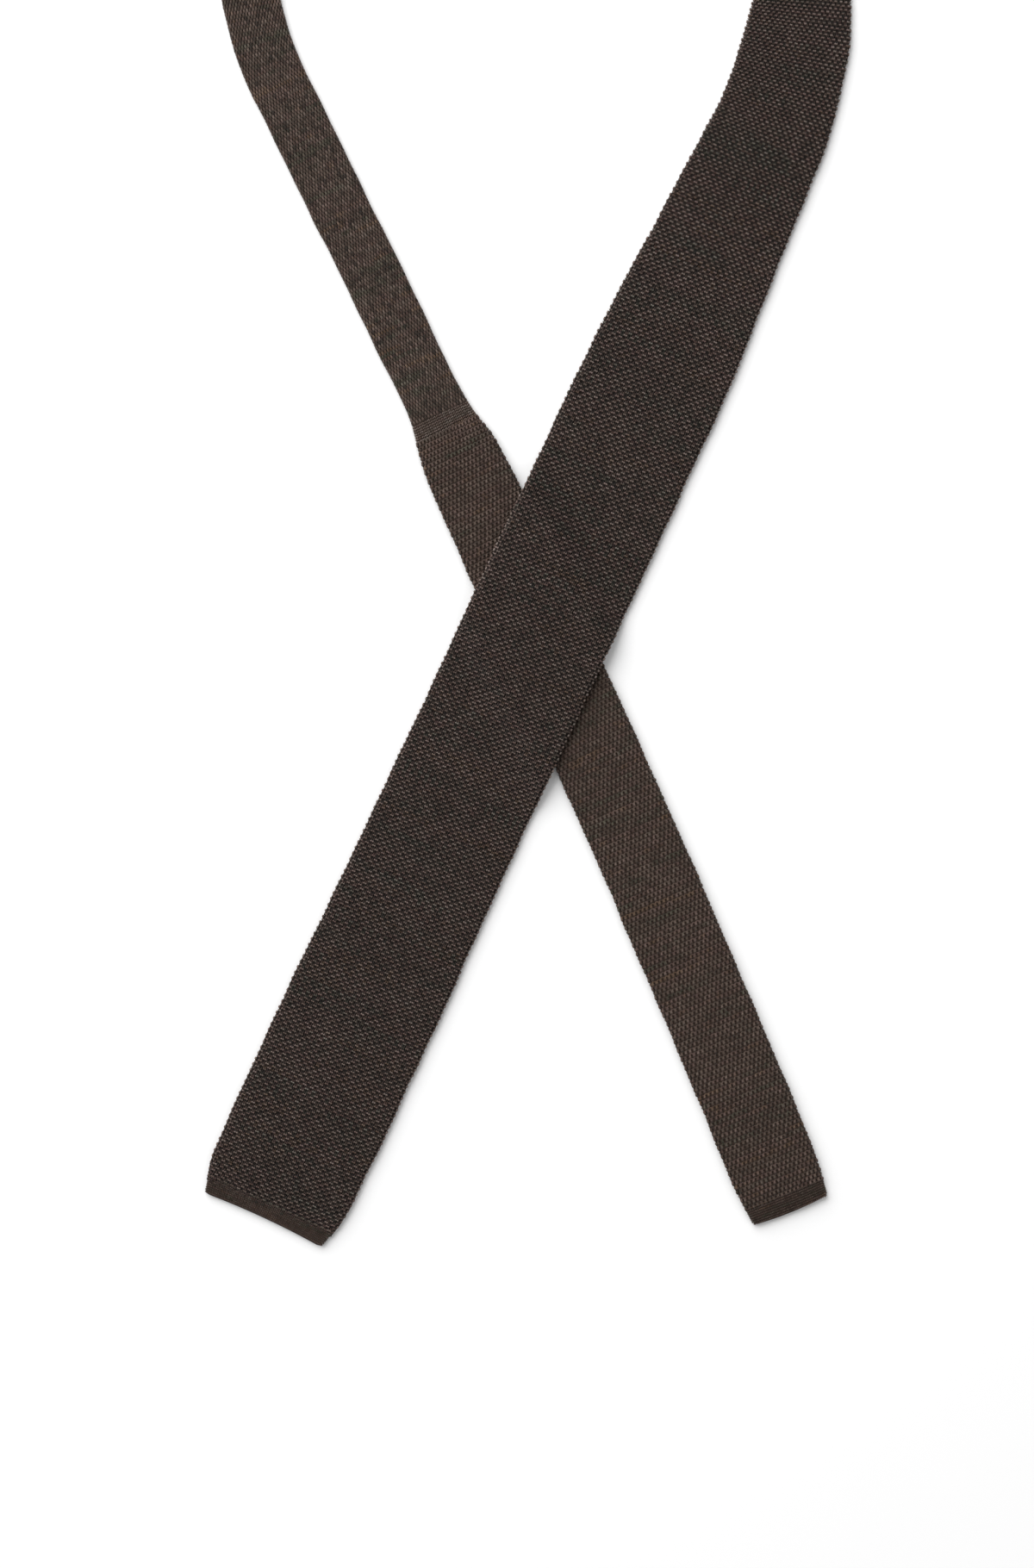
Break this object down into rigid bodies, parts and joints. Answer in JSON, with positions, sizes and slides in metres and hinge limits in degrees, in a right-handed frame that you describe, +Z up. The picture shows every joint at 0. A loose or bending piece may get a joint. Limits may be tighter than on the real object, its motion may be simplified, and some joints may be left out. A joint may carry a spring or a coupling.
{
  "type": "knit tie",
  "caption": "Square-ended knitted necktie lying flat: a wide openwork front blade laid across a narrow openwork tail, joined by a slim close-knit neck band with plain knitted hems.",
  "frame": {"origin": "on the surface that the tie lies on, under the middle of the tie's bounding box", "axes": "+Z up from the surface; +Y from the two tips towards the nape of the neck band; +X to the right seen from above, towards the tail's tip"},
  "size_m": [0.2586, 0.6394, 0.0067],
  "materials": {
    "front_knit": "dark brown heather yarn, openwork knit, matte",
    "tail_knit": "dark brown heather yarn, openwork knit of small arches, matte",
    "neck_knit": "dark brown heather yarn, close knit, matte",
    "hem_knit": "dark brown heather yarn, fine plain knit, matte"
  },
  "bodies": {
    "root": {"front_hem": "hem_knit", "front_blade": "front_knit", "neck_band": "neck_knit", "tail_blade": "tail_knit", "tail_hem": "hem_knit"}
  },
  "joints": []
}
